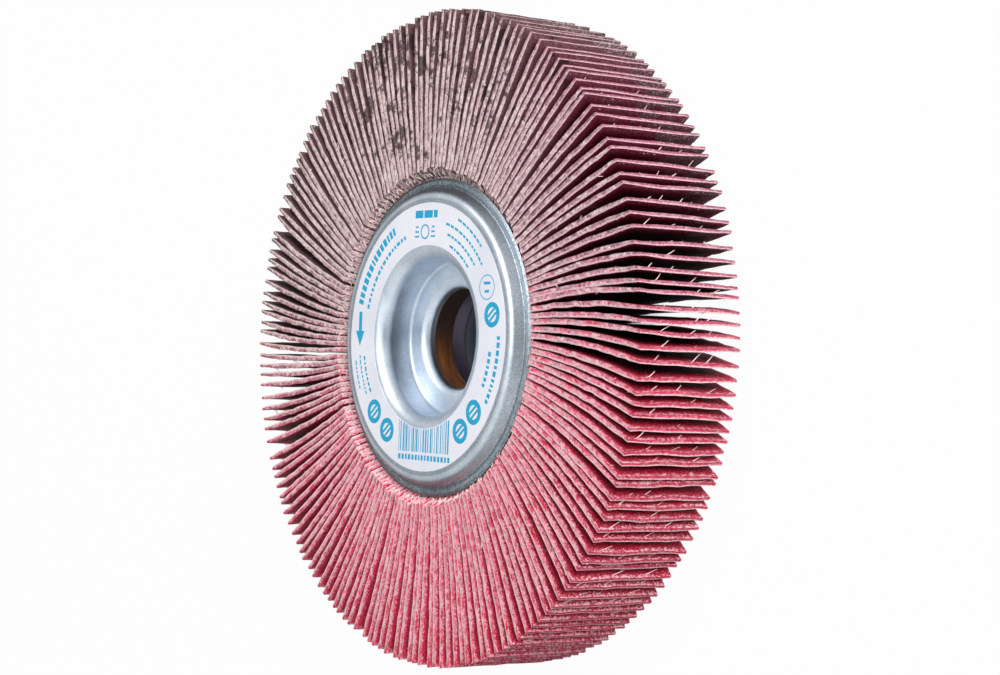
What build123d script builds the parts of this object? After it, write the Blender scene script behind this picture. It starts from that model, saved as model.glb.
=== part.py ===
from build123d import *
import math
import os

# Abrasive flap wheel. Origin at the wheel's centre, on the bore's axis and midway between the side
# plates. +Z is the axis and points out of the labelled side. All sizes are in millimetres.

# Flaps
wheel_diameter = 165.0
flap_width = 30.0
flap_thickness = 1.0
flap_groups = 24
flaps_per_group = 7
root_gap = 0.6  # the roots stop this far outside the radius where neighbours would touch
notch_gap = 0.5  # from the plate's outer edge out to the foot of the notch's flank
notch_lean = 1.8  # the flank leans outwards by this much up to the side edge

# Pressed side plates
bore_diameter = 25.4
sheet_thickness = 1.0
lip_bend = 2.2  # from the floor into the collar, drawn as one flat
floor_width = 4.7
dish_bend = 3.3  # from the crown into the dish's wall, drawn as one flat
crown_width = 16.0  # from the dish's wall out to the top of the shoulder
shoulder_run = 2.1
rim_width = 2.3
crown_height = 1.0  # the crown stands this far proud of the flaps' side edges
shoulder_drop = 2.6  # from the crown down to the rim
dish_depth = 9.0  # from the crown down to the floor that a clamping flange presses on
front_collar_length = 0.8
back_collar_length = 3.2

# Label, spacer sleeve and resin core
label_thickness = 0.1
label_inset = 0.1  # from the end of the dish's bend to the label's hole
label_width = 10.7
sleeve_clearance = 0.2  # the sleeve's hole is this much larger in radius than the bore
sleeve_wall = 2.4

# Worked out from the sizes above
wheel_radius = wheel_diameter / 2
flap_half_width = flap_width / 2
flap_pitch = 360 / (flap_groups * flaps_per_group)
root_radius = flap_thickness / 2 / math.tan(math.radians(flap_pitch / 2)) + root_gap

bore_radius = bore_diameter / 2
dish_radius = bore_radius + lip_bend + floor_width
shoulder_radius = dish_radius + crown_width
groove_radius = shoulder_radius + shoulder_run
rim_radius = groove_radius + rim_width
crown_z = flap_half_width + crown_height
rim_z = crown_z - shoulder_drop
floor_z = crown_z - dish_depth
root_half_width = rim_z - sheet_thickness
lip_z = floor_z - lip_bend

sleeve_inner_radius = bore_radius + sleeve_clearance
sleeve_outer_radius = sleeve_inner_radius + sleeve_wall
sleeve_top_z = lip_z - front_collar_length
sleeve_bottom_z = back_collar_length - lip_z


def plate_section(collar_length):
    """Half section of a side plate in the XZ plane: one bent strip of sheet from rim to collar."""
    open_side = Polyline(
        (rim_radius, rim_z),
        (groove_radius, rim_z),
        (shoulder_radius, crown_z),
        (dish_radius + dish_bend, crown_z),
        (dish_radius, crown_z - dish_bend),
        (dish_radius, floor_z),
        (bore_radius + lip_bend, floor_z),
        (bore_radius, lip_z),
        (bore_radius, lip_z - collar_length),
    )
    strip = offset(open_side, amount=sheet_thickness, side=Side.LEFT, kind=Kind.INTERSECTION)
    return Plane.XZ * make_face(strip)


def side_plate(collar_length):
    """Front side plate, spun from its section about the wheel's axis."""
    return revolve(plate_section(collar_length), Axis.Z)


def flap():
    """One flap, standing out along +X: a full-width blade with a narrower root under the rims."""
    notch_radius = rim_radius + notch_gap
    flank_top_radius = notch_radius + notch_lean
    outline = Polyline(
        (root_radius, -root_half_width),
        (notch_radius, -root_half_width),
        (flank_top_radius, -flap_half_width),
        (wheel_radius, -flap_half_width),
        (wheel_radius, flap_half_width),
        (flank_top_radius, flap_half_width),
        (notch_radius, root_half_width),
        (root_radius, root_half_width),
        close=True,
    )
    return extrude(Plane.XZ * make_face(outline), flap_thickness / 2, both=True)


def flap_group(first):
    """A run of neighbouring flaps, starting from the flap with number first."""
    blade = flap()
    return Compound(
        children=[
            Rot(Z=(first + place) * flap_pitch) * blade for place in range(flaps_per_group)
        ]
    )


def ring(inner_radius, outer_radius, low_z, high_z):
    """Plain ring about the wheel's axis."""
    section = Polyline(
        (inner_radius, low_z),
        (outer_radius, low_z),
        (outer_radius, high_z),
        (inner_radius, high_z),
        close=True,
    )
    return revolve(Plane.XZ * make_face(section), Axis.Z)


def resin_core():
    """Cast ring between the plates' floors, out to the flap roots that it holds."""
    core_half_height = floor_z - sheet_thickness
    return ring(sleeve_outer_radius, root_radius, -core_half_height, core_half_height)


def label():
    """Paper ring stuck on the front plate's crown."""
    inner_radius = dish_radius + dish_bend + label_inset
    return ring(inner_radius, inner_radius + label_width, crown_z, crown_z + label_thickness)


def save(name, shape):
    """Write one sub-part to its STEP file."""
    shape.label = name
    export_step(shape, os.path.join("parts", name + ".step"))


os.makedirs("parts", exist_ok=True)
save("front_plate", side_plate(front_collar_length))
save("back_plate", mirror(side_plate(back_collar_length), about=Plane.XY))
save("front_label", label())
save("spacer_sleeve", ring(sleeve_inner_radius, sleeve_outer_radius, sleeve_bottom_z, sleeve_top_z))
save("resin_core", resin_core())
for group in range(flap_groups):
    save(f"flaps_{group + 1:02d}", flap_group(group * flaps_per_group))
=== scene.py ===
"""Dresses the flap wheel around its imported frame: flaps, side plates, label, stage, lamps and camera.

The wheel lies flat on its back plate. +Z is its axis and points out of the labelled side, +X points to
the right of the picture and +Y to its top. Lengths are in metres unless a name says mm.
"""

import logging
import math
import random
from dataclasses import dataclass
from enum import Enum
from typing import Iterable, Iterator

import bmesh
import bpy
from bmesh.types import BMesh, BMEdge, BMFace, BMVert
from mathutils import Matrix, Vector, noise

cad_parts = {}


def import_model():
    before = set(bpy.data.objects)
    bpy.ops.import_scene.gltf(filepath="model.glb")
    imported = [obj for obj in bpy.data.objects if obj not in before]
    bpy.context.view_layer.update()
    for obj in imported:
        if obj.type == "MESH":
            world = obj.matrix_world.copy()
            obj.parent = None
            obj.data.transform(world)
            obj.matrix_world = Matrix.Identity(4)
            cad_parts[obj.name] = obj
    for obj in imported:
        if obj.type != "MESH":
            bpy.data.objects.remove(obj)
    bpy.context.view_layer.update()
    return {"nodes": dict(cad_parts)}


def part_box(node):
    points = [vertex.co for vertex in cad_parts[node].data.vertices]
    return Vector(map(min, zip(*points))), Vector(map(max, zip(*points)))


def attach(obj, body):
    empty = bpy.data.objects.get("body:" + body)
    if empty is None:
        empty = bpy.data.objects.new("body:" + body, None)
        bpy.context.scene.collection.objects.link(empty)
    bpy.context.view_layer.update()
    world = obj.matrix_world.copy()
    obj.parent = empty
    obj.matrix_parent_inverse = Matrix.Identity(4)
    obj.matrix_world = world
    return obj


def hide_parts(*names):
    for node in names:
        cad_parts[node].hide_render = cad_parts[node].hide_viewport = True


LOG = logging.getLogger("flap_wheel")
MM = 0.001
BODY = "root"
ORIGIN = (0.0, 0.0, 0.0)
AXIS = (0.0, 0.0, 1.0)
Colour = tuple[float, float, float]
Material = bpy.types.Material
Mesh = bpy.types.Mesh
Socket = bpy.types.NodeSocket


def shade(red: int, green: int, blue: int) -> Colour:
    """Linear colour for an 8-bit display colour.

    Args:
        red: 0 to 255 as displayed.
        green: 0 to 255 as displayed.
        blue: 0 to 255 as displayed.

    Returns:
        The colour that a shader socket takes.
    """

    def linear(level: int) -> float:
        """Linear value of one display level."""
        part = level / 255.0
        return part / 12.92 if part <= 0.04045 else ((part + 0.055) / 1.055) ** 2.4

    return linear(red), linear(green), linear(blue)


class Slot(Enum):
    """Material slots of the record that the scene's own pieces fill."""

    STEEL = "plate_steel"
    PAPER = "label_paper"
    CLOTH = "abrasive_cloth"


class Side(Enum):
    """The two sides of the wheel, by the sign of Z that they face."""

    FRONT = 1
    BACK = -1


@dataclass(frozen=True)
class WheelSizes:
    """Sizes that more than one sub-assembly reads."""

    wheel_radius: float
    flap_half_width: float
    crown_z: float
    floor_z: float = 7.0 * MM
    rim_z: float = 13.4 * MM
    bore_radius: float = 12.7 * MM
    rim_radius: float = 40.0 * MM
    sheet: float = 1.0 * MM

    @classmethod
    def from_frame(cls) -> "WheelSizes":
        """The wheel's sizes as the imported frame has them."""
        plate_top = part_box("front_plate")[1].z
        wheel_radius = max(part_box(f"flaps_{number:02d}")[1].x for number in range(1, 25))
        return cls(wheel_radius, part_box("flaps_01")[1].z, plate_top)


class NodeSheet:
    """The node tree of one material or world, with short calls that add and join nodes."""

    def __init__(self, name: str, owners: object = None) -> None:
        """Starts an empty tree.

        Args:
            name: Name of the new material or world.
            owners: The collection that it is made in, or None for a material.
        """
        self.owner = (bpy.data.materials if owners is None else owners).new(name)
        self.owner.use_nodes = True
        self.tree = self.owner.node_tree
        self.tree.nodes.clear()

    def add(self, kind: str, **settings: object) -> bpy.types.Node:
        """Adds a node.

        Args:
            kind: The node's type without its ShaderNode prefix.
            settings: Attributes to set on the node.

        Returns:
            The new node.
        """
        node = self.tree.nodes.new("ShaderNode" + kind)
        for name, value in settings.items():
            setattr(node, name, value)
        return node

    def feed(self, node: bpy.types.Node, socket: object, value: object) -> None:
        """Joins or sets one input of a node.

        Args:
            node: The node that takes the value.
            socket: The input's name or number.
            value: A socket to join, a number, a vector or a colour.
        """
        target = node.inputs[socket]
        if isinstance(value, Socket):
            self.tree.links.new(value, target)
        elif isinstance(value, tuple) and target.type == "RGBA" and len(value) == 3:
            target.default_value = (*value, 1.0)
        else:
            target.default_value = value

    def result(self, kind: str, inputs: dict, output: object = 0, **settings: object) -> Socket:
        """Adds a node, feeds it and gives one of its outputs.

        Args:
            kind: The node's type without its ShaderNode prefix.
            inputs: What each input takes, by the input's name or number.
            output: The output's name or number.
            settings: Attributes to set on the node.

        Returns:
            The output.
        """
        node = self.add(kind, **settings)
        for socket, value in inputs.items():
            self.feed(node, socket, value)
        return node.outputs[output]

    def place(self) -> Socket:
        """Object coordinates, in metres."""
        return self.add("TexCoord").outputs["Object"]

    def run(self, layer: str) -> Socket:
        """Coordinates of one of the piece's own UV maps."""
        return self.add("UVMap", uv_map=layer).outputs["UV"]

    def scaled(self, vector: Socket, factors: tuple[float, float, float]) -> Socket:
        """The vector with each of its parts multiplied."""
        return self.result("VectorMath", {0: vector, 1: factors}, operation="MULTIPLY")

    def math(self, operation: str, first: object, second: object = 0.0) -> Socket:
        """The result of one arithmetic step on two values."""
        return self.result("Math", {0: first, 1: second}, operation=operation)

    def times(self, first: object, second: object) -> Socket:
        """The product of two values."""
        return self.math("MULTIPLY", first, second)

    def plus(self, first: object, second: object) -> Socket:
        """The sum of two values."""
        return self.math("ADD", first, second)

    def split(self, vector: Socket) -> tuple[Socket, ...]:
        """The X, Y and Z parts of a vector."""
        return tuple(self.result("SeparateXYZ", {0: vector}).node.outputs)

    def radius(self) -> Socket:
        """Distance from the wheel's axis, in metres."""
        flat = self.scaled(self.place(), (1.0, 1.0, 0.0))
        return self.result("VectorMath", {0: flat}, "Value", operation="LENGTH")

    def cloud(self, vector: Socket, scale: float, detail: float = 2.0, roughness: float = 0.5) -> Socket:
        """Noise between 0 and 1.

        Args:
            vector: Coordinates to read.
            scale: Blobs for each unit of the coordinates.
            detail: Octaves of finer noise.
            roughness: Weight of the finer octaves.

        Returns:
            The noise's value.
        """
        inputs = {"Vector": vector, "Scale": scale, "Detail": detail, "Roughness": roughness}
        return self.result("TexNoise", inputs)

    def span(
        self,
        value: object,
        low: float,
        high: float,
        out_low: float = 0.0,
        out_high: float = 1.0,
        way: str = "SMOOTHSTEP",
    ) -> Socket:
        """The value moved from one range to another, and held inside it.

        Args:
            value: The value to move.
            low: Start of the range that it is read in.
            high: End of that range.
            out_low: What the start becomes.
            out_high: What the end becomes.
            way: How it runs in between.

        Returns:
            The moved value.
        """
        inputs = {"Value": value, "From Min": low, "From Max": high, "To Min": out_low, "To Max": out_high}
        return self.result("MapRange", inputs, clamp=True, interpolation_type=way)

    def ramp(self, value: object, stops: Iterable[tuple[float, Colour]]) -> Socket:
        """Colour read off a row of stops by the value.

        Args:
            value: The place to read at.
            stops: Position and colour of each stop.

        Returns:
            The colour.
        """
        node = self.add("ValToRGB")
        self.feed(node, 0, value)
        elements = node.color_ramp.elements
        for index, (position, colour) in enumerate(stops):
            stop = elements[index] if index < len(elements) else elements.new(position)
            stop.position = position
            stop.color = (*colour, 1.0)
        return node.outputs[0]

    def blend(self, factor: object, first: object, second: object, way: str = "MIX") -> Socket:
        """Two colours blended by a factor."""
        inputs = {0: factor, 6: first, 7: second}
        return self.result("Mix", inputs, 2, data_type="RGBA", blend_type=way, clamp_factor=True)

    def bump(self, height: object, depth: float, strength: float = 1.0) -> Socket:
        """Normals of a surface whose relief is this deep."""
        return self.result("Bump", {"Strength": strength, "Distance": depth, "Height": height})

    def end(self, shader: Socket, output: str = "OutputMaterial") -> bpy.types.ID:
        """Ends the tree in that shader and gives the material or world."""
        self.feed(self.add(output), "Surface", shader)
        return self.owner

    def finish(self, **sockets: object) -> Material:
        """Ends the tree in one Principled shader, fed by input names with underscores for spaces."""
        inputs = {name.replace("_", " "): value for name, value in sockets.items()}
        return self.end(self.result("BsdfPrincipled", inputs))


def edge_nearness(sheet: NodeSheet, side_mm: float, rim_mm: float) -> Socket:
    """How near a place on a flap is to its free edges: 1 at an edge and 0 from the given depths on.

    Args:
        sheet: The material's tree.
        side_mm: Depth below a side edge at which it ends.
        rim_mm: Depth below the rim at which it ends.

    Returns:
        The nearness.
    """
    height = sheet.math("ABSOLUTE", sheet.split(sheet.place())[2])
    by_side = sheet.span(height, (15.0 - side_mm) * MM, 15.0 * MM)
    by_rim = sheet.span(sheet.radius(), (82.4 - rim_mm) * MM, 82.4 * MM)
    return sheet.math("MAXIMUM", by_side, by_rim)


@dataclass(frozen=True)
class GritFinish:
    """The coated side of a flap: crimson grain in resin, frosted towards the cut edges, with painted shade
    deep between the flaps and painted light near the edges.
    """

    deep: Colour = shade(58, 0, 10)
    dim: Colour = shade(122, 4, 28)
    crimson: Colour = shade(212, 16, 52)
    bright: Colour = shade(255, 66, 104)
    shaded: Colour = shade(130, 100, 112)
    grain_dark: Colour = shade(108, 4, 24)
    grain_highlight: Colour = shade(246, 128, 150)
    frost: Colour = shade(255, 206, 214)

    def material(self) -> Material:
        """Builds the material."""
        sheet = NodeSheet("grit_face")
        place = sheet.place()
        grains = sheet.cloud(place, 2400.0, 3.0, 0.7)
        # Painted shade and light: the ramp runs from near black deep in the gaps to bright crimson at the
        # free edges.
        outer = edge_nearness(sheet, 7.0, 8.0)
        stops = [(0.05, self.deep), (0.4, self.dim), (0.72, self.crimson), (0.97, self.bright)]
        colour = sheet.ramp(outer, stops)
        # Painted shade: the faces darken towards the right of the picture.
        right_shade = sheet.span(sheet.split(place)[0], 4.0 * MM, 60.0 * MM, 0.0, 0.62)
        colour = sheet.blend(right_shade, colour, self.shaded, "MULTIPLY")
        colour = sheet.blend(sheet.span(grains, 0.52, 0.38, 0.0, 0.55), colour, self.grain_dark)
        # Painted highlights on the grains, near the free edges only.
        lit_grain = sheet.times(sheet.span(grains, 0.55, 0.68), outer)
        colour = sheet.blend(sheet.times(lit_grain, 0.5), colour, self.grain_highlight)
        specks = sheet.cloud(place, 1500.0, 3.0, 0.8)
        drift = sheet.cloud(place, 300.0, 2.0)
        margin = edge_nearness(sheet, 1.1, 2.2)
        level = sheet.plus(sheet.times(margin, 0.19), sheet.times(drift, 0.2))
        frosted = sheet.span(sheet.plus(specks, level), 0.72, 0.82, 0.0, 0.8)
        colour = sheet.blend(frosted, colour, self.frost)
        return sheet.finish(
            Base_Color=colour,
            Roughness=sheet.span(grains, 0.3, 0.7, 0.8, 0.55),
            Specular_IOR_Level=0.25,
            Normal=sheet.bump(grains, 0.25 * MM, 0.8),
        )


@dataclass(frozen=True)
class BackingFinish:
    """The uncoated side of a flap: filled cloth, maroon on the right, greyer mauve on the left, grey at the
    tips, with painted shade deep between the flaps.
    """

    left_tone_and_shade_stops: tuple = ((0.1, shade(28, 8, 12)), (0.6, shade(58, 30, 34)), (0.95, shade(118, 90, 94)))
    right_tone_and_shade_stops: tuple = ((0.1, shade(24, 2, 8)), (0.65, shade(84, 6, 28)), (0.97, shade(138, 48, 74)))
    worn: Colour = shade(104, 92, 98)
    thread_dark: Colour = shade(44, 22, 28)
    chalk: Colour = shade(206, 190, 190)
    smudge: Colour = shade(46, 36, 38)
    thread_mm: float = 0.55

    def material(self) -> Material:
        """Builds the material."""
        sheet = NodeSheet("backing_face")
        place = sheet.place()
        run = sheet.run("flap_run")
        along, across, _ = sheet.split(run)
        turn = 2.0 * math.pi / self.thread_mm
        warp = sheet.math("SINE", sheet.times(along, turn))
        weft = sheet.math("SINE", sheet.times(across, turn))
        weave = sheet.times(sheet.plus(warp, weft), 0.06)
        relief = sheet.plus(weave, sheet.cloud(place, 1900.0, 3.0, 0.7))
        right, _, high = sheet.split(place)
        # Painted shade: each side's ramp runs from near black deep between the flaps to the cloth's colour at
        # the free edges; the right side is redder.
        outer = edge_nearness(sheet, 6.0, 8.0)
        rightness = sheet.span(right, 26.0 * MM, 68.0 * MM)
        colour = sheet.blend(
            rightness, sheet.ramp(outer, self.left_tone_and_shade_stops), sheet.ramp(outer, self.right_tone_and_shade_stops)
        )
        patches = sheet.cloud(place, 120.0, 3.0, 0.6)
        backwards = sheet.span(high, 3.0 * MM, -12.0 * MM, 0.0, 0.35)
        worn = sheet.span(sheet.plus(patches, backwards), 0.6, 0.85, 0.0, 0.75)
        worn = sheet.times(worn, sheet.span(outer, 0.05, 0.5))
        colour = sheet.blend(worn, colour, self.worn)
        colour = sheet.blend(sheet.span(relief, 0.52, 0.34, 0.0, 0.5), colour, self.thread_dark)
        margin = edge_nearness(sheet, 1.0, 3.4)
        specks = sheet.cloud(place, 1700.0, 3.0, 0.8)
        level = sheet.plus(specks, sheet.times(margin, 0.12))
        chalked = sheet.times(sheet.span(level, 0.60, 0.72), sheet.plus(worn, 0.25))
        colour = sheet.blend(chalked, colour, self.chalk)
        colour = sheet.blend(smudges(sheet, run, 0.75), colour, self.smudge)
        return sheet.finish(
            Base_Color=colour,
            Roughness=0.9,
            Specular_IOR_Level=0.15,
            Normal=sheet.bump(relief, 0.14 * MM, 0.7),
        )


def smudges(sheet: NodeSheet, run: Socket, most: float) -> Socket:
    """Dark smudges worked into the cloth, drawn out along each flap, on the wheel's upper half only.

    Args:
        sheet: The material's tree.
        run: The flap's own coordinates, in mm.
        most: The cover where a smudge is at its darkest.

    Returns:
        The cover from 0 to that value.
    """
    place = sheet.place()
    right, up, _ = sheet.split(place)
    patches = sheet.cloud(place, 52.0, 3.0, 0.6)
    streaks = sheet.cloud(sheet.scaled(run, (0.11, 0.05, 1.0)), 1.0, 5.0, 0.65)
    torn = sheet.cloud(place, 600.0, 3.0, 0.75)
    level = sheet.plus(sheet.times(streaks, 0.9), sheet.times(patches, 0.4))
    level = sheet.plus(level, sheet.times(torn, 0.25))
    upper = sheet.span(up, 15.0 * MM, 66.0 * MM, -0.14, 0.025)
    off_top = sheet.math("ABSOLUTE", sheet.plus(right, 8.0 * MM))
    by_top = sheet.span(off_top, 16.0 * MM, 52.0 * MM, 0.0, 0.09)
    level = sheet.math("SUBTRACT", sheet.plus(level, upper), by_top)
    return sheet.span(level, 0.80, 0.87, 0.0, most)


@dataclass(frozen=True)
class CutEdgeFinish:
    """The cut edge of a flap: lumpy grain with pale cloth ends, crimson below and greyer above, with painted
    highlights on the lumps' crests and painted shade in their hollows.
    """

    low_tints: tuple = (
        (0.34, shade(248, 52, 84)),
        (0.44, shade(252, 112, 144)),
        (0.54, shade(255, 156, 178)),
        (0.66, shade(236, 180, 190)),
    )
    top_tints: tuple = (
        (0.34, shade(168, 126, 136)),
        (0.46, shade(212, 174, 182)),
        (0.58, shade(228, 198, 198)),
        (0.68, shade(190, 170, 150)),
    )
    low_cloth: Colour = shade(255, 216, 216)
    top_cloth: Colour = shade(226, 206, 202)
    mauve: Colour = shade(186, 138, 152)
    mauve_cloth: Colour = shade(232, 190, 200)
    rim_low: Colour = shade(214, 66, 100)
    rim_top: Colour = shade(178, 98, 124)
    rim_left: Colour = shade(132, 116, 112)
    side_left: Colour = shade(174, 126, 136)
    # Pale and dark tones, used both for the grain's own specks and for painted highlight and shade on the
    # lumps.
    low_light: Colour = shade(255, 198, 208)
    top_light: Colour = shade(244, 226, 224)
    low_dark: Colour = shade(164, 34, 64)
    top_dark: Colour = shade(96, 66, 74)
    smudge: Colour = shade(46, 34, 36)

    def material(self) -> Material:
        """Builds the material."""
        sheet = NodeSheet("cut_edge")
        place = sheet.place()
        run = sheet.run("flap_run")
        across = sheet.split(run)[1]
        right, up, _ = sheet.split(place)
        rightness = sheet.span(right, 5.0 * MM, 60.0 * MM)
        lumps = sheet.cloud(sheet.scaled(run, (0.6, 0.8, 1.0)), 1.0, 4.0, 0.65)
        fine = sheet.cloud(place, 1500.0, 3.0, 0.8)
        tint = sheet.cloud(sheet.scaled(run, (0.12, 0.1, 1.0)), 1.0, 3.0, 0.65)
        start = sheet.times(sheet.span(right, -60.0 * MM, 60.0 * MM), 12.0 * MM)
        uneven = sheet.span(tint, 0.3, 0.7, -8.0 * MM, 8.0 * MM)
        height = sheet.plus(sheet.math("SUBTRACT", up, start), uneven)
        # Share of the greyer top tints, rising towards the top of the picture with an uneven border.
        towards_top = sheet.span(height, -26.0 * MM, 14.0 * MM)
        low = sheet.ramp(tint, self.low_tints)
        top = sheet.blend(rightness, sheet.ramp(tint, self.top_tints), self.mauve)
        leftness = sheet.span(right, -30.0 * MM, -56.0 * MM)
        level_left = sheet.times(leftness, sheet.span(up, 34.0 * MM, 8.0 * MM))
        top = sheet.blend(sheet.times(level_left, 0.85), top, self.side_left)
        low_left = sheet.times(level_left, sheet.span(up, -46.0 * MM, -16.0 * MM, 0.0, 0.7))
        low = sheet.blend(low_left, low, self.side_left)
        rim_top = sheet.blend(rightness, self.rim_left, self.rim_top)
        tip = sheet.span(sheet.radius(), 72.0 * MM, 81.0 * MM, 0.0, 0.6)
        top = sheet.blend(sheet.times(tip, sheet.span(right, 0.0, -50.0 * MM)), top, self.rim_left)
        at_rim = sheet.span(sheet.radius(), 80.3 * MM, 81.6 * MM)
        colour = sheet.blend(
            at_rim, sheet.blend(towards_top, low, top), sheet.blend(towards_top, self.rim_low, rim_top)
        )
        # These tones serve the painted highlight and painted shade on the lumps, the grain's own pale and
        # dark specks, and the darker border on the coated side.
        light = sheet.blend(towards_top, self.low_light, self.top_light)
        dark = sheet.blend(towards_top, self.low_dark, self.top_dark)
        # Painted highlight on the lumps' crests and painted shade in their hollows, weaker at the rim.
        inwards = sheet.span(at_rim, 0.0, 1.0, 1.0, 0.3)
        crest_highlight = sheet.times(sheet.span(lumps, 0.50, 0.60, 0.0, 0.85), inwards)
        colour = sheet.blend(crest_highlight, colour, light)
        hollow_shade = sheet.times(sheet.span(lumps, 0.47, 0.34, 0.0, 0.7), inwards)
        colour = sheet.blend(hollow_shade, colour, dark)
        scallops = sheet.cloud(sheet.scaled(run, (1.3, 0.0, 1.0)), 1.0, 3.0, 0.7)
        border = sheet.math("SUBTRACT", across, sheet.span(scallops, 0.3, 0.7, 0.08, 0.5))
        line = sheet.blend(towards_top, self.low_cloth, sheet.blend(rightness, self.top_cloth, self.mauve_cloth))
        colour = sheet.blend(sheet.span(border, 0.13, -0.02, 0.0, 0.9), colour, line)
        foot = sheet.plus(across, sheet.span(scallops, 0.3, 0.7, -0.2, 0.2))
        colour = sheet.blend(sheet.span(foot, 0.78, 0.98, 0.0, 0.6), colour, dark)
        colour = sheet.blend(sheet.span(fine, 0.56, 0.66, 0.0, 0.45), colour, light)
        colour = sheet.blend(sheet.span(fine, 0.45, 0.36, 0.0, 0.4), colour, dark)
        colour = sheet.blend(smudges(sheet, run, 0.85), colour, self.smudge)
        relief = sheet.plus(lumps, sheet.times(fine, 0.3))
        return sheet.finish(
            Base_Color=colour,
            Roughness=0.9,
            Specular_IOR_Level=0.15,
            Normal=sheet.bump(relief, 0.8 * MM, 1.0),
        )


@dataclass(frozen=True)
class FibreFinish:
    """Loose cotton ends pulled out of the cloth."""

    cream: Colour = shade(255, 244, 238)
    tinted: Colour = shade(250, 196, 204)

    def material(self) -> Material:
        """Builds the material."""
        sheet = NodeSheet("loose_fibre")
        tint = sheet.cloud(sheet.place(), 700.0, 2.0)
        colour = sheet.ramp(tint, [(0.35, self.tinted), (0.6, self.cream)])
        return sheet.finish(Base_Color=colour, Roughness=0.8, Specular_IOR_Level=0.2)


@dataclass(frozen=True)
class SteelFinish:
    """Zinc-plated pressed sheet with faint rings from the press and a cloudy, finely speckled plating, with
    painted shade and painted dark reflections in rings and on the outer shoulder away from the right.
    """

    bright: Colour = shade(226, 236, 246)
    dull: Colour = shade(200, 212, 226)
    spots: Colour = shade(140, 148, 158)
    # Tones for painted shade and painted reflection: the dark rings, the dish floor's blue tint and the
    # shaded bore.
    painted_dark: Colour = shade(92, 102, 106)
    floor: Colour = shade(150, 168, 192)
    inside: Colour = shade(146, 138, 158)
    # Radius in mm where each painted dark ring starts and ends, and how dark it becomes.
    dark_ring_shades: tuple = (
        (33.6, 33.9, 0.5),
        (34.6, 35.1, 0.0),
        (35.8, 36.6, 0.5),
        (37.5, 37.8, 0.9),
        (38.1, 38.4, 0.62),
        (39.1, 39.5, 0.97),
    )

    def material(self) -> Material:
        """Builds the material."""
        sheet = NodeSheet("plated_steel")
        place = sheet.place()
        rings = sheet.add("CombineXYZ")
        sheet.feed(rings, 0, sheet.radius())
        sheet.feed(rings, 2, sheet.split(place)[2])
        marks = sheet.cloud(rings.outputs[0], 900.0, 3.0, 0.6)
        cloudy = sheet.cloud(place, 110.0, 5.0, 0.65)
        spangle = sheet.cloud(place, 2200.0, 3.0, 0.75)
        colour = sheet.ramp(cloudy, [(0.35, self.dull), (0.65, self.bright)])
        colour = sheet.blend(sheet.span(spangle, 0.54, 0.68, 0.0, 0.4), colour, self.spots)
        out = sheet.radius()
        right, _, high = sheet.split(place)
        # Painted shade and painted dark reflections in rings at the label's edge, the shoulder, the groove
        # and the bead.
        cover = 0.0
        before = 0.0
        for low, top, level in self.dark_ring_shades:
            step = sheet.span(out, low * MM, top * MM, 0.0, level - before)
            cover = sheet.plus(cover, step)
            before = level
        # Painted dark reflection on the outer shoulder, everywhere except on the right.
        outer = sheet.span(out, 35.4 * MM, 36.4 * MM)
        outer = sheet.times(outer, sheet.span(right, 24.0 * MM, 4.0 * MM))
        cover = sheet.plus(cover, sheet.times(outer, 0.38))
        # The painted shade is broken up by the plating's speckle.
        painted_shade_cover = sheet.times(cover, sheet.span(spangle, 0.4, 0.6, 0.6, 1.0))
        colour = sheet.blend(painted_shade_cover, colour, self.painted_dark)
        # Painted reflection: a faint blue tint on the dish floor.
        dish_floor_reflection = sheet.span(high, 7.7 * MM, 7.2 * MM)
        dish_floor_reflection = sheet.times(dish_floor_reflection, sheet.span(out, 14.2 * MM, 15.6 * MM))
        colour = sheet.blend(sheet.times(dish_floor_reflection, 0.1), colour, self.floor)
        # Painted shade: darker purple-grey on the far collar inside the bore.
        bore_shade = sheet.times(sheet.span(out, 13.6 * MM, 12.9 * MM), sheet.span(high, MM, -MM))
        colour = sheet.blend(bore_shade, colour, self.inside)
        gloss = sheet.plus(sheet.times(cloudy, 0.1), 0.27)
        gloss = sheet.plus(gloss, sheet.times(spangle, 0.1))
        relief = sheet.plus(sheet.times(marks, 0.5), spangle)
        return sheet.finish(
            Base_Color=colour,
            Metallic=1.0,
            Roughness=gloss,
            Normal=sheet.bump(relief, 0.012 * MM, 0.6),
        )


@dataclass(frozen=True)
class PaperFinish:
    """Smooth white label paper with a faint cool tint."""

    white: Colour = shade(240, 241, 249)
    grey: Colour = shade(230, 232, 243)

    def material(self) -> Material:
        """Builds the material."""
        sheet = NodeSheet("label_paper")
        tooth = sheet.cloud(sheet.place(), 2500.0, 3.0)
        sheen = sheet.cloud(sheet.place(), 60.0, 2.0)
        colour = sheet.ramp(sheen, [(0.35, self.grey), (0.6, self.white)])
        return sheet.finish(
            Base_Color=colour,
            Roughness=sheet.span(tooth, 0.3, 0.7, 0.42, 0.55),
            Normal=sheet.bump(tooth, 0.01 * MM, 0.4),
        )


@dataclass(frozen=True)
class InkFinish:
    """Cyan printing ink, a little uneven where the paper shows through."""

    full: Colour = shade(0, 158, 206)
    thin: Colour = shade(36, 176, 214)

    def material(self) -> Material:
        """Builds the material."""
        sheet = NodeSheet("label_ink")
        cover = sheet.cloud(sheet.place(), 1800.0, 3.0)
        colour = sheet.ramp(cover, [(0.4, self.full), (0.7, self.thin)])
        return sheet.finish(Base_Color=colour, Roughness=0.42)


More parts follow.
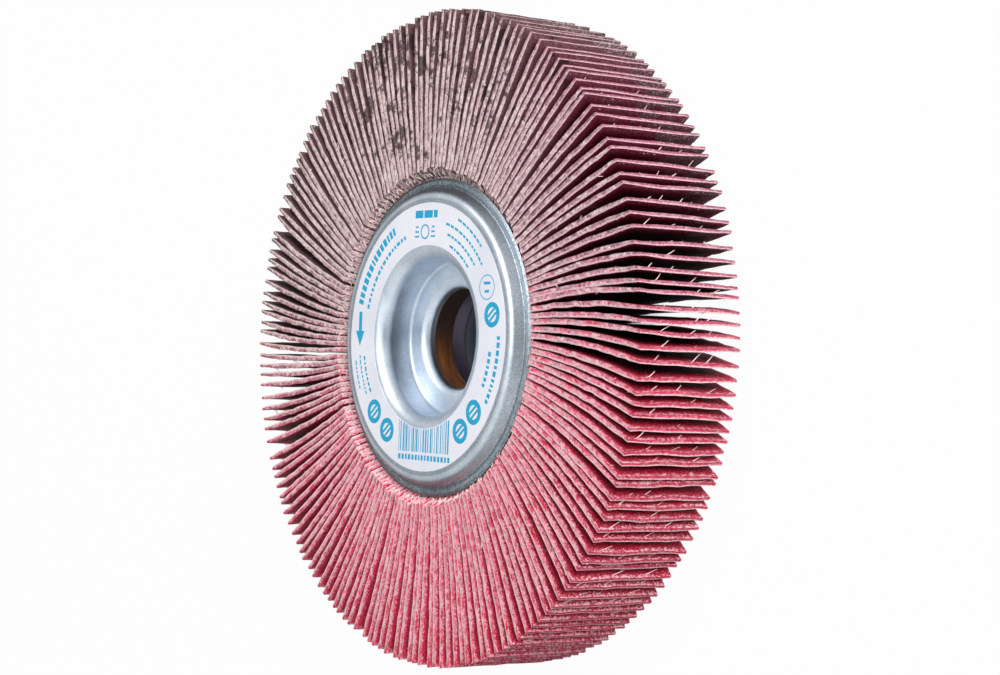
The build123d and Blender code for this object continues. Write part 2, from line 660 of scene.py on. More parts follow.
@dataclass(frozen=True)
class BoardFinish:
    """Brown hard paper wound round the bore."""

    dark: Colour = shade(62, 38, 20)
    warm: Colour = shade(142, 84, 40)
    # Dark tone for painted shade inside the bore.
    sleeve_shade: Colour = shade(26, 18, 14)

    def material(self) -> Material:
        """Builds the material."""
        sheet = NodeSheet("sleeve_board")
        place = sheet.place()
        layers = sheet.cloud(sheet.scaled(place, (120.0, 120.0, 1500.0)), 1.0, 4.0, 0.6)
        stain = sheet.cloud(place, 110.0, 2.0)
        colour = sheet.ramp(layers, [(0.3, self.dark), (0.7, self.warm)])
        colour = sheet.blend(sheet.span(stain, 0.4, 0.7, 0.0, 0.5), colour, self.dark)
        # Painted shade: the sleeve darkens towards the top of the picture, inside the bore.
        shade_towards_top = sheet.span(sheet.split(place)[1], -10.0 * MM, 5.0 * MM, 0.0, 0.85)
        colour = sheet.blend(shade_towards_top, colour, self.sleeve_shade)
        return sheet.finish(
            Base_Color=colour, Roughness=0.6, Normal=sheet.bump(layers, 0.05 * MM, 0.5)
        )


@dataclass(frozen=True)
class ResinFinish:
    """Dark cast resin that holds the flap roots."""

    base: Colour = shade(60, 36, 30)
    light: Colour = shade(96, 62, 50)

    def material(self) -> Material:
        """Builds the material."""
        sheet = NodeSheet("core_resin")
        flow = sheet.cloud(sheet.place(), 160.0, 4.0)
        colour = sheet.ramp(flow, [(0.35, self.base), (0.7, self.light)])
        return sheet.finish(
            Base_Color=colour, Roughness=0.35, Normal=sheet.bump(flow, 0.2 * MM, 0.3)
        )


def mesh_from(work: BMesh, name: str) -> Mesh:
    """Ends a bmesh as a mesh.

    Args:
        work: The finished bmesh, freed here.
        name: The mesh's name.

    Returns:
        The new mesh.
    """
    mesh = bpy.data.meshes.new(name)
    work.to_mesh(mesh)
    work.free()
    return mesh


def piece_from(work: BMesh, name: str, materials: Iterable[Material], sharp: float) -> bpy.types.Object:
    """Ends a bmesh as a shown piece.

    Args:
        work: The finished bmesh, freed here.
        name: The piece's name.
        materials: Its material slots, in order.
        sharp: Angle in degrees from which an edge is shaded sharp.

    Returns:
        The new object, which rides on the wheel's body.
    """
    mesh = mesh_from(work, name)
    for polygon in mesh.polygons:
        polygon.use_smooth = True
    mesh.set_sharp_from_angle(angle=math.radians(sharp))
    for material in materials:
        mesh.materials.append(material)
    piece = bpy.data.objects.new(name, mesh)
    bpy.context.scene.collection.objects.link(piece)
    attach(piece, BODY)
    return piece


def share_past(value: float, start: float) -> float:
    """How far a value has come from the start towards 1, and 0 before the start."""
    return max(0.0, (value - start) / (1.0 - start))


@dataclass(frozen=True)
class Lie:
    """How one flap lies: its own lean, curl and trim, as shares of the room beside it or in metres."""

    number: int
    lean: float
    curl: float
    twist: float
    ripple: float
    phase: float
    trim: float
    shoulder: float


@dataclass
class FlapRing:
    """The ring of abrasive flaps, in packs that match the frame's nodes."""

    sizes: WheelSizes
    packs: int = 24
    flaps_per_pack: int = 7
    thickness: float = 1.0 * MM
    root_radius: float = 27.33 * MM
    notch_radius: float = 40.5 * MM
    root_half_width: float = 12.0 * MM
    flank_lean: float = 1.8 * MM
    curl_degrees: float = 3.0
    curl_right_degrees: float = 0.5
    curl_level_degrees: float = 0.8
    curl_power: float = 1.2
    set_forward_degrees: float = 1.2
    side_frayed: float = 0.28 * MM
    rim_frayed: float = 0.16 * MM
    corner_wear: float = 0.5
    swelling: float = 0.28
    steps_out: int = 16
    steps_across: int = 8
    fray_start: float = 0.84
    rim_start: float = 0.96
    wear_start: float = 0.55
    notch_pull: float = 9.0 * MM
    side_run_mm: float = 100.0
    rim_run_mm: float = 300.0
    flap_run_mm: float = 40.0
    tufts_along_edge: int = 14
    strand_chance: float = 0.62
    seed: int = 11

    def __post_init__(self) -> None:
        """Works out the spacing and how each flap lies, and makes the fibres to copy."""
        self.count = self.packs * self.flaps_per_pack
        self.pitch = 2.0 * math.pi / self.count
        self.random = random.Random(self.seed)
        self.lies = [self.lie(number) for number in range(self.count)]
        self.strand = self.strand_template(4, 0.5, 3)
        self.tuft = self.strand_template(3, 0.2, 0)

    def lie(self, number: int) -> Lie:
        """Draws how a flap lies.

        Args:
            number: The flap's number, counted anticlockwise from +X.

        Returns:
            Its lean, curl and trim.
        """
        angle = number * self.pitch
        drift = noise.noise(Vector((math.cos(angle) * 4.0, math.sin(angle) * 4.0, 3.7)))
        draw = self.random.uniform
        return Lie(
            number=number,
            lean=0.9 * drift + draw(-0.3, 0.3),
            curl=draw(-0.5, 0.5),
            twist=draw(-0.12, 0.12),
            ripple=draw(-0.1, 0.1),
            phase=draw(0.0, 2.0 * math.pi),
            trim=abs(self.random.gauss(0.0, 0.25)) * MM,
            shoulder=draw(-0.5, 0.5) * MM,
        )

    def cut(self, work: BMesh, place: tuple, normal: tuple) -> None:
        """Cuts every face of the flap along a plane."""
        every = [*work.verts, *work.edges, *work.faces]
        bmesh.ops.bisect_plane(work, geom=every, plane_co=place, plane_no=normal)

    def template(self) -> Mesh:
        """One flat flap along +X, with its coated side towards +Y and its run laid out in mm.

        Returns:
            A mesh to copy from. Material 0 is the coated face, 1 the backing and 2 the cut edge.
        """
        work = bmesh.new()
        run_layer = work.loops.layers.uv.new("flap_run")
        blade = self.sizes.wheel_radius - self.notch_radius
        bmesh.ops.create_grid(work, x_segments=self.steps_out, y_segments=self.steps_across, size=0.5)
        bmesh.ops.scale(work, vec=(blade, 2.0 * self.sizes.flap_half_width, 1.0), verts=work.verts)
        bmesh.ops.rotate(work, matrix=Matrix.Rotation(math.radians(90.0), 3, "X"), verts=work.verts)
        middle = (self.sizes.wheel_radius + self.notch_radius) / 2.0
        bmesh.ops.translate(work, vec=(middle, -self.thickness / 2.0, 0.0), verts=work.verts)
        for level in (-self.root_half_width, self.root_half_width):
            self.cut(work, (0.0, 0.0, level), AXIS)
        inner = [
            edge
            for edge in work.edges
            if all(vert.co.x < self.notch_radius + 1e-6 for vert in edge.verts)
            and all(abs(vert.co.z) < self.root_half_width + 1e-6 for vert in edge.verts)
        ]
        root = bmesh.ops.extrude_edge_only(work, edges=inner)["geom"]
        root_verts = [item for item in root if isinstance(item, BMVert)]
        bmesh.ops.translate(work, vec=(self.root_radius - self.notch_radius, 0.0, 0.0), verts=root_verts)
        top = bmesh.ops.extrude_face_region(work, geom=list(work.faces), use_keep_orig=True)["geom"]
        top_verts = [item for item in top if isinstance(item, BMVert)]
        bmesh.ops.translate(work, vec=(0.0, self.thickness, 0.0), verts=top_verts)
        self.cut(work, ORIGIN, (0.0, 1.0, 0.0))
        bmesh.ops.recalc_face_normals(work, faces=work.faces)
        for face in work.faces:
            self.lay_out(face, run_layer)
        return mesh_from(work, "flap_template")

    def lay_out(self, face: BMFace, run_layer: object) -> None:
        """Gives a face its material and its run in mm.

        Args:
            face: A face of the flat flap.
            run_layer: The UV layer to fill.
        """
        facing = face.normal
        if abs(facing.y) > 0.5:
            face.material_index = 0 if facing.y > 0.0 else 1
        else:
            face.material_index = 2
        for loop in face.loops:
            place = loop.vert.co / MM
            if face.material_index < 2:
                loop[run_layer].uv = (place.x, place.z)
            elif abs(facing.z) > 0.5:
                loop[run_layer].uv = (place.x + self.side_run_mm * facing.z, place.y + 0.5)
            else:
                loop[run_layer].uv = (place.z + self.rim_run_mm, place.y + 0.5)

    def settle(self, place: Vector, lie: Lie) -> Vector:
        """Where a point of the flat flap comes to lie.

        Args:
            place: The point on the flat flap.
            lie: How this flap lies.

        Returns:
            The moved point, still on the flap that stands along +X.
        """
        out, thick, high = place
        half_width = self.sizes.flap_half_width
        reach = (out - self.root_radius) / (self.sizes.wheel_radius - self.root_radius)
        room = max(0.0, out * self.pitch - self.thickness)
        across = high / half_width
        sway = lie.lean + lie.curl * reach * (1.0 - reach) * 1.2 + lie.twist * across
        sway += lie.ripple * math.sin(across * 4.0 + lie.phase)
        near_side = share_past(abs(high) / half_width, self.fray_start)
        at_rim = share_past(out / self.sizes.wheel_radius, self.rim_start)
        side_fray = noise.noise(Vector((out * 560.0, lie.number * 3.1, across)))
        rim_fray = noise.noise(Vector((high * 420.0, lie.number * 5.3, 9.0)))
        side_frayed = min(self.side_frayed, 0.4 * room)
        rim_frayed = min(self.rim_frayed, 0.4 * room)
        worn = share_past(reach, self.fray_start) * share_past(abs(across), self.wear_start)
        on_ridge = 1.0 if abs(thick) < 1e-6 else 0.0
        swollen = self.swelling + 0.16 * abs(math.sin(lie.number * self.pitch))
        at_flank = out < self.notch_radius + 3.0 * MM and abs(high) > self.root_half_width - MM
        swollen *= 1.0 if at_flank else near_side
        thick *= 1.0 + min(swollen, 0.6 * room / self.thickness) - self.corner_wear * worn
        thick += room * sway + side_frayed * side_fray * near_side + rim_frayed * rim_fray * at_rim
        if out > self.notch_radius + MM:
            side_cut = noise.noise(Vector((out * 480.0, lie.number * 7.7, across)))
            ridge_cut = noise.noise(Vector((out * 700.0, lie.number * 2.3, across)))
            side_cut -= on_ridge * 0.7 * (1.0 + ridge_cut)
            high -= near_side * 0.16 * MM * (1.0 + side_cut) * math.copysign(1.0, high)
        out -= at_rim * (lie.trim + 0.22 * MM * (1.0 + rim_fray) - 0.05 * MM * on_ridge)
        above_root = (abs(high) - self.root_half_width) / (half_width - self.root_half_width)
        near_notch = 1.0 - (out - self.notch_radius) / self.notch_pull
        if above_root > 0.0 and near_notch > 0.0:
            out += (self.flank_lean + lie.shoulder) * above_root * min(near_notch, 1.0)
        kept = Vector((min(out, self.sizes.wheel_radius), thick, high))
        return Matrix.Rotation(self.curl(out, lie), 3, "Z") @ kept

    def curl(self, out: float, lie: Lie) -> float:
        """How far the cloth has curled round the axis towards its uncoated side.

        Args:
            out: Distance from the wheel's axis.
            lie: How the flap lies.

        Returns:
            The turn in radians, a little forwards by the plates and backwards at the rim.
        """
        share = max(0.0, (out - self.notch_radius) / (self.sizes.wheel_radius - self.notch_radius))
        angle = lie.number * self.pitch
        most = self.curl_degrees + self.curl_right_degrees * math.cos(angle)
        most += self.curl_level_degrees * math.cos(2.0 * angle)
        return math.radians(self.set_forward_degrees - most * share**self.curl_power)

    def pack(self, index: int, template: Mesh, materials: list[Material]) -> None:
        """Builds the piece that stands for one node of flaps.

        Args:
            index: The node's number, from 1.
            template: The flat flap.
            materials: Coated face, backing, cut edge and loose fibre.
        """
        work = bmesh.new()
        done = 0
        first = (index - 1) * self.flaps_per_pack
        for number in range(first, first + self.flaps_per_pack):
            lie = self.lies[number]
            work.from_mesh(template)
            work.verts.ensure_lookup_table()
            run_layer = work.loops.layers.uv["flap_run"]
            turned = Matrix.Rotation(number * self.pitch, 3, "Z")
            fresh = work.verts[done:]
            for vert in fresh:
                vert.co = turned @ self.settle(vert.co, lie)
            for face in {face for vert in fresh for face in vert.link_faces}:
                for loop in face.loops:
                    loop[run_layer].uv.x += self.flap_run_mm * number
            done = len(work.verts)
        for lie in self.lies[first:first + self.flaps_per_pack]:
            for strand, root, way, length in self.fibres(lie):
                self.fibre(work, strand, root, way, length, lie)
        work.normal_update()
        piece = piece_from(work, f"flap_pack_{index:02d}", materials, 50.0)
        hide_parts(f"flaps_{index:02d}")

    def fibres(self, lie: Lie) -> Iterator[tuple[Mesh, Vector, Vector, float]]:
        """Draws a flap's loose fibres: tufts at the rim and side edges, and longer strands.

        Args:
            lie: How the flap lies.

        Yields:
            The fibre to copy, its root and direction on the flat flap, and its length.
        """
        draw = self.random.uniform
        half_width = self.sizes.flap_half_width
        notch = self.notch_radius
        rim = self.sizes.wheel_radius - 0.75 * MM - lie.trim
        for place in range(self.tufts_along_edge):
            high = half_width * (place / 7.0 - 0.93 + draw(-0.07, 0.07))
            root = Vector((rim, draw(-0.45, 0.1) * MM, high))
            yield self.tuft, root, Vector((0.45, draw(-1.0, 1.0), draw(-1.0, 1.0))), draw(0.35, 0.75) * MM
        for place in range(self.tufts_along_edge):
            out = notch + (3.0 * place + draw(1.5, 4.5)) * MM
            if out > rim - MM:
                continue
            for side in (1.0, -1.0):
                root = Vector((out, draw(-0.5, 0.3) * MM, side * (half_width - 0.3 * MM)))
                way = Vector((draw(-1.0, 1.0), draw(-1.0, 1.0), side * 0.5))
                yield self.tuft, root, way, draw(0.4, 0.8) * MM
        for share in (0.72, 0.36, 0.0, -0.34):
            if self.random.random() > self.strand_chance:
                continue
            root = Vector((rim, -0.3 * MM, half_width * (share + draw(-0.13, 0.13))))
            yield self.strand, root, Vector((0.05, draw(0.5, 1.0), -1.0)), draw(1.6, 4.6) * MM
        for _ in range(self.random.choice((0, 1, 1, 2))):
            out = draw(notch + 3.0 * MM, self.sizes.wheel_radius - 3.0 * MM)
            root = Vector((out, draw(-0.5, 0.2) * MM, half_width - 0.2 * MM))
            yield self.strand, root, Vector((draw(0.5, 1.0), draw(-0.5, 0.5), 0.04)), draw(0.9, 2.6) * MM
        for _ in range(4):
            drop = draw(0.1, 1.8) * MM
            root = Vector((notch + 0.2 * MM, draw(-0.5, 0.5) * MM, half_width - drop))
            yield self.strand, root, Vector((-draw(0.4, 1.0), draw(-0.9, 0.9), -0.35)), draw(0.8, 1.7) * MM

    def strand_template(self, corners: int, tip: float, cuts: int) -> Mesh:
        """One straight fibre along +Z, one unit long and one unit in radius.

        Args:
            corners: Corners of its section.
            tip: Radius at its far end.
            cuts: Places along it where it can bend.

        Returns:
            A mesh to copy from.
        """
        work = bmesh.new()
        bmesh.ops.create_cone(work, cap_ends=True, segments=corners, radius1=1.0, radius2=tip, depth=1.0)
        bmesh.ops.translate(work, vec=(0.0, 0.0, 0.5), verts=work.verts)
        sides = [edge for edge in work.edges if abs(edge.verts[0].co.z - edge.verts[1].co.z) > 0.5]
        if cuts:
            bmesh.ops.subdivide_edges(work, edges=sides, cuts=cuts)
        for face in work.faces:
            face.material_index = 3
        return mesh_from(work, "fibre_template")

    def fibre(self, work: BMesh, strand: Mesh, root: Vector, way: Vector, length: float, lie: Lie) -> None:
        """Adds one bent fibre.

        Args:
            work: The bmesh that takes it.
            strand: The straight fibre to copy.
            root: Where it leaves the flat flap.
            way: The direction it lies in, on the flat flap.
            length: Its length.
            lie: How its flap lies.
        """
        known = len(work.verts)
        work.from_mesh(strand)
        work.verts.ensure_lookup_table()
        radius = self.random.uniform(0.1, 0.17) * MM
        bend = self.random.uniform(-0.15, 0.15) * length
        aim = way.normalized().to_track_quat("Z", "Y").to_matrix()
        start = self.settle(root, lie)
        turned = Matrix.Rotation(lie.number * self.pitch, 3, "Z")
        for vert in work.verts[known:]:
            share = vert.co.z
            sag = bend * share * (1.0 - share) * 2.0
            bent = Vector((vert.co.x * radius, vert.co.y * radius + sag, share * length))
            vert.co = turned @ (start + aim @ bent)

    def build(self) -> None:
        """Builds every pack of flaps."""
        materials = [
            GritFinish().material(),
            BackingFinish().material(),
            CutEdgeFinish().material(),
            FibreFinish().material(),
        ]
        template = self.template()
        for index in range(1, self.packs + 1):
            self.pack(index, template, materials)
        LOG.info("flaps: %d in %d packs", self.count, self.packs)


def spun(work: BMesh, steps: int) -> None:
    """Spins the bmesh's wire section once about the wheel's axis and closes the seam."""
    swept(work, [*work.verts, *work.edges], 2.0 * math.pi, steps, True)
    bmesh.ops.remove_doubles(work, verts=work.verts, dist=1e-7)


def swept(work: BMesh, line: list, angle: float, steps: int, closed: bool = False) -> list[BMFace]:
    """Sweeps a line about the wheel's axis.

    Args:
        work: The bmesh that holds the line.
        line: Its corners and edges.
        angle: How far it goes round, in radians.
        steps: Number of faces on the way.
        closed: True to join the end to the start.

    Returns:
        The new faces.
    """
    known = set(work.faces)
    bmesh.ops.spin(work, geom=line, cent=ORIGIN, axis=AXIS, angle=angle, steps=steps, use_merge=closed)
    return [face for face in work.faces if face not in known]


def wire(work: BMesh, points: Iterable[tuple[float, float]], closed: bool = False) -> None:
    """Draws a section in the XZ plane.

    Args:
        work: The bmesh that takes it.
        points: Radius and height of each corner.
        closed: True to join the last corner to the first.
    """
    corners = [work.verts.new((radius, 0.0, height)) for radius, height in points]
    pairs = list(zip(corners, corners[1:]))
    if closed:
        pairs.append((corners[-1], corners[0]))
    for first, second in pairs:
        work.edges.new((first, second))


def ring_edges(work: BMesh, radius: float, height: float) -> list[BMEdge]:
    """Finds the edges of a ring about the wheel's axis.

    Args:
        work: The bmesh to look in.
        radius: The ring's radius.
        height: Its height.

    Returns:
        Its edges.
    """

    def on_ring(vert: BMVert) -> bool:
        """True if the vertex lies on the ring."""
        return math.isclose(vert.co.xy.length, radius, abs_tol=1e-6) and abs(vert.co.z - height) < 1e-6

    return [edge for edge in work.edges if all(on_ring(vert) for vert in edge.verts)]


@dataclass
class SidePlate:
    """One pressed steel plate: rim, shoulder, crown, dish and collar."""

    sizes: WheelSizes
    side: Side
    collar_length: float
    rim_drop: float = 0.35 * MM
    bead_outer_radius: float = 39.3 * MM
    bead_inner_radius: float = 38.4 * MM
    groove_radius: float = 37.75 * MM
    groove_depth: float = 0.25 * MM
    shoulder_radius: float = 36.2 * MM
    dish_radius: float = 19.6 * MM
    shoulder_bend: float = 1.6 * MM
    dish_bend: float = 3.3 * MM
    lip_bend: float = 2.2 * MM
    foot_bend: float = 0.9 * MM
    bead_bend: float = 0.5 * MM
    steps: int = 128

    def section(self) -> list[tuple[float, float, float]]:
        """The open side of the sheet as radius, height and bend radius, from the rim to the collar's end."""
        sizes = self.sizes
        collar_end = sizes.floor_z - self.lip_bend - self.collar_length
        return [
            (sizes.rim_radius, sizes.rim_z - self.rim_drop, 0.0),
            (self.bead_outer_radius, sizes.rim_z, self.bead_bend),
            (self.bead_inner_radius, sizes.rim_z, self.bead_bend),
            (self.groove_radius, sizes.rim_z - self.groove_depth, self.bead_bend),
            (self.shoulder_radius, sizes.crown_z, self.shoulder_bend),
            (self.dish_radius, sizes.crown_z, self.dish_bend),
            (self.dish_radius, sizes.floor_z, self.foot_bend),
            (sizes.bore_radius, sizes.floor_z, self.lip_bend),
            (sizes.bore_radius, collar_end, 0.0),
        ]

    def build(self, steel: Material) -> None:
        """Builds the plate.

        Args:
            steel: The plate's material.
        """
        work = bmesh.new()
        corners = self.section()
        wire(work, [(radius, height) for radius, height, _ in corners])
        spun(work, self.steps)
        for before, here, after in zip(corners, corners[1:], corners[2:]):
            first = Vector((here[0] - before[0], here[1] - before[1]))
            second = Vector((after[0] - here[0], after[1] - here[1]))
            turn = first.angle(second)
            bmesh.ops.bevel(
                work,
                geom=ring_edges(work, here[0], here[1]),
                affect="EDGES",
                offset=here[2] * math.tan(turn / 2.0),
                offset_type="OFFSET",
                segments=max(2, round(math.degrees(turn) / 11.0)),
                profile=0.5,
                material=-1,
            )
        bmesh.ops.recalc_face_normals(work, faces=work.faces)
        crown = max(work.faces, key=lambda face: face.calc_center_median().z)
        if crown.normal.z < 0.0:
            bmesh.ops.reverse_faces(work, faces=work.faces)
        bmesh.ops.solidify(work, geom=list(work.faces), thickness=self.sizes.sheet)
        bmesh.ops.recalc_face_normals(work, faces=work.faces)
        if self.side is Side.BACK:
            bmesh.ops.scale(work, vec=(1.0, 1.0, -1.0), verts=work.verts)
            bmesh.ops.reverse_faces(work, faces=work.faces)
        name = f"{self.side.name.lower()}_plate"
        piece = piece_from(work, f"pressed_{name}", [steel], 40.0)
        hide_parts(name)
        LOG.info("%s: %d faces", piece.name, len(piece.data.polygons))


@dataclass
class RingLabel:
    """The paper ring on the front plate's crown, with plain marks printed in one ink."""

    sizes: WheelSizes
    inner_radius: float = 23.0 * MM
    outer_radius: float = 33.7 * MM
    ink: float = 0.015 * MM
    steps: int = 128
    hoop_steps: int = 32
    word_rows: tuple = (
        (30.7, 2.1, 164.5, 117.0, 1.5),
        (27.0, 0.95, 165.0, 109.0, 1.5),
        (31.7, 0.6, 66.5, 43.5, 1.7),
        (29.2, 0.6, 75.0, 37.0, 1.7),
        (26.8, 0.6, 72.0, 41.0, 1.7),
        (24.5, 0.6, 67.5, 44.5, 1.7),
        (31.0, 1.2, -30.5, 3.0, 1.4),
        (27.9, 1.1, -25.0, -5.0, 1.3),
        (27.6, 0.7, -169.0, -148.0, 1.3),
        (29.6, 0.5, -170.0, -149.0, 1.3),
        (31.7, 0.5, -168.0, -152.5, 1.3),
    )
    badge_places: tuple = ((28.6, 11.4), (28.4, -39.5), (28.3, -54.0), (29.0, -137.8), (28.5, -122.7))
    seed: int = 5

    def __post_init__(self) -> None:
        """Reads the label's place from the frame and starts its bmesh."""
        self.work = bmesh.new()
        low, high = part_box("front_label")
        self.low_z = low.z
        self.paper_z = high.z - self.ink
        self.random = random.Random(self.seed)

    def raise_ink(self, faces: list[BMFace]) -> None:
        """Gives flat marks the thickness of the ink.

        Args:
            faces: The marks, flat on the paper.
        """
        grown = bmesh.ops.extrude_face_region(self.work, geom=faces, use_keep_orig=True)["geom"]
        lifted = [item for item in grown if isinstance(item, BMVert)]
        bmesh.ops.translate(self.work, vec=(0.0, 0.0, self.ink), verts=lifted)
        marked = list({face for vert in lifted for face in vert.link_faces} | set(faces))
        for face in marked:
            face.material_index = 1
        bmesh.ops.recalc_face_normals(self.work, faces=marked)

    def arc(self, radius: float, width: float, start: float, end: float) -> None:
        """Prints a bar that follows the ring.

        Args:
            radius: Radius of the bar's middle, in mm.
            width: Its width across the ring, in mm.
            start: Angle of one end, in degrees.
            end: Angle of the other end, in degrees.
        """
        turn = Matrix.Rotation(math.radians(start), 3, "Z")
        ends = [
            self.work.verts.new(turn @ Vector(((radius + side * width / 2.0) * MM, 0.0, self.paper_z)))
            for side in (-1.0, 1.0)
        ]
        steps = max(1, round(abs(end - start) / 3.0))
        self.raise_ink(swept(self.work, [*ends, self.work.edges.new(ends)], math.radians(end - start), steps))

    def words(self, radius: float, width: float, start: float, end: float, longest: float) -> None:
        """Prints a row of dashes of uneven length.

        Args:
            radius: Radius of the row, in mm.
            width: Width of the dashes, in mm.
            start: Angle where the row starts, in degrees.
            end: Angle where it ends, in degrees.
            longest: Length of the longest dash, in mm.
        """
        degrees_for_mm = math.degrees(1.0 / radius)
        way = math.copysign(1.0, end - start)
        here = start
        while abs(end - here) > 0.5 * longest * degrees_for_mm:
            dash = self.random.uniform(0.45, 1.0) * longest * degrees_for_mm
            dash = min(dash, abs(end - here))
            self.arc(radius, width, here, here + way * dash)
            here += way * (dash + min(0.75 * width, 0.6) * degrees_for_mm)

    def hoop(self, place: Matrix, radius: float, width: float) -> None:
        """Prints a circle.

        Args:
            place: Its middle on the paper.
            radius: Its outer radius, in mm.
            width: Width of its line, in mm.
        """
        ends = [self.work.verts.new(((radius - inset) * MM, 0.0, 0.0)) for inset in (0.0, width)]
        fresh = swept(self.work, [*ends, self.work.edges.new(ends)], 2.0 * math.pi, self.hoop_steps, True)
        moved = list({vert for face in fresh for vert in face.verts})
        bmesh.ops.transform(self.work, matrix=place, verts=moved)
        self.raise_ink(fresh)

    def stamp(self, place: Matrix, made: list[BMVert]) -> None:
        """Moves a flat mark to its place on the paper and inks it."""
        bmesh.ops.transform(self.work, matrix=place, verts=made)
        self.raise_ink(list({face for vert in made for face in vert.link_faces}))

    def block(self, place: Matrix, length: float, width: float) -> None:
        """Prints a straight bar.

        Args:
            place: Its middle on the paper.
            length: Its length along the place's X, in mm.
            width: Its width along the place's Y, in mm.
        """
        made = bmesh.ops.create_grid(self.work, x_segments=1, y_segments=1, size=0.5)["verts"]
        bmesh.ops.scale(self.work, vec=(length * MM, width * MM, 1.0), verts=made)
        self.stamp(place, made)

    def polar(self, radius: float, angle: float, spin: float = 0.0) -> Matrix:
        """Place on the paper at a radius in mm and an angle in degrees, its X pointing outwards."""
        out, on = (Matrix.Rotation(math.radians(turn), 4, "Z") for turn in (angle, spin))
        return out @ Matrix.Translation((radius * MM, 0.0, self.paper_z)) @ on

    def upright(self, across: float, up: float) -> Matrix:
        """Place on the paper at a distance in mm right of and above the axis, its X pointing right."""
        return Matrix.Translation((across * MM, up * MM, self.paper_z))

    def arrow(self) -> None:
        """Prints the arrow that shows which way the wheel turns."""
        shaft_length = 5.0
        head_length = 3.9
        middle = -29.45
        self.block(self.upright(middle, 1.2 + shaft_length / 2.0), 1.4, shaft_length)
        made = bmesh.ops.create_circle(self.work, cap_ends=True, segments=3, radius=1.0)["verts"]
        bmesh.ops.rotate(self.work, matrix=Matrix.Rotation(math.radians(180.0), 3, "Z"), verts=made)
        bmesh.ops.scale(self.work, vec=(2.3 * MM, head_length / 1.5 * MM, 1.0), verts=made)
        self.stamp(self.upright(middle, 1.2 - head_length / 3.0), made)

    def stripes(self) -> None:
        """Prints a field of upright stripes that runs up to the label's hole, with small dashes below."""
        left, right, bottom = -9.8, 12.4, -28.9
        here = left
        hole = self.inner_radius / MM + 0.2
        while here < right:
            width = self.random.choice((0.22, 0.22, 0.42, 0.6))
            top = -math.sqrt(max(hole**2 - here**2, 20.5**2))
            self.block(self.upright(here + width / 2.0, (top + bottom) / 2.0), width, top - bottom)
            here += width + self.random.choice((0.28, 0.28, 0.45, 0.7))
        here = left
        while here < right:
            width = self.random.uniform(0.6, 1.1)
            self.block(self.upright(here + width / 2.0, -30.3), width, 1.3)
            here += width + 0.55

    def badge(self, radius: float, angle: float) -> None:
        """Prints a thick ring with two slanted bars inside it.

        Args:
            radius: Radius of its middle, in mm.
            angle: Angle of its middle, in degrees.
        """
        place = self.polar(radius, angle, 40.0 - angle)
        self.hoop(place, 3.1, 1.3)
        for up in (-0.62, 0.62):
            self.block(place @ Matrix.Translation((0.0, up * MM, 0.0)), 3.3, 0.68)

    def print_marks(self) -> None:
        """Prints every mark on the ring."""
        self.arrow()
        for row in self.word_rows:
            self.words(*row)
        self.hoop(self.upright(25.6, 12.3), 3.1, 0.26)
        self.block(self.upright(25.6, 13.3), 2.6, 0.7)
        self.block(self.upright(25.6, 11.3), 1.7, 0.7)
        for radius, angle in self.badge_places:
            self.badge(radius, angle)
        for across, length in ((-4.2, 3.4), (-0.2, 3.6), (2.9, 1.6)):
            self.block(self.upright(across, 30.8), length, 1.9)
        self.hoop(self.upright(-1.5, 26.4), 1.9, 0.4)
        for side in (-1.0, 1.0):
            for row in range(3):
                spot = self.upright(-1.5 + side * 3.5, 25.2 + 1.2 * row)
                self.block(spot, 1.9 - 0.35 * row, 0.45)
        self.stripes()

    def build(self) -> None:
        """Builds the paper ring and its print as one piece."""
        section = [
            (self.inner_radius, self.low_z),
            (self.outer_radius, self.low_z),
            (self.outer_radius, self.paper_z),
            (self.inner_radius, self.paper_z),
        ]
        wire(self.work, section, closed=True)
        spun(self.work, self.steps)
        bmesh.ops.recalc_face_normals(self.work, faces=self.work.faces)
        self.print_marks()
        materials = [PaperFinish().material(), InkFinish().material()]
        piece = piece_from(self.work, "ring_label", materials, 30.0)
        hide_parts("front_label")
        LOG.info("%s: %d faces", piece.name, len(piece.data.polygons))


def dress_node(frame: dict, node: str, material: Material) -> None:
    """Gives a node of the frame that stays in view its material.

    Args:
        frame: The loaded frame.
        node: The node's name.
        material: The material it takes.
    """
    mesh = frame["nodes"][node].data
    mesh.materials.clear()
    mesh.materials.append(material)


@dataclass(frozen=True)
class Lamp:
    """One soft square lamp that faces the wheel."""

    name: str
    place: Vector
    width: float
    power: float
    mirrored: bool

    def build(self) -> None:
        """Hangs the lamp, seen in reflections or not."""
        data = bpy.data.lights.new(self.name, "AREA")
        data.shape = "SQUARE"
        data.size = self.width
        data.energy = self.power
        lamp = bpy.data.objects.new(self.name, data)
        lamp.location = self.place
        lamp.visible_glossy = self.mirrored
        lamp.rotation_euler = (-self.place).to_track_quat("-Z", "Y").to_euler()
        bpy.context.scene.collection.objects.link(lamp)


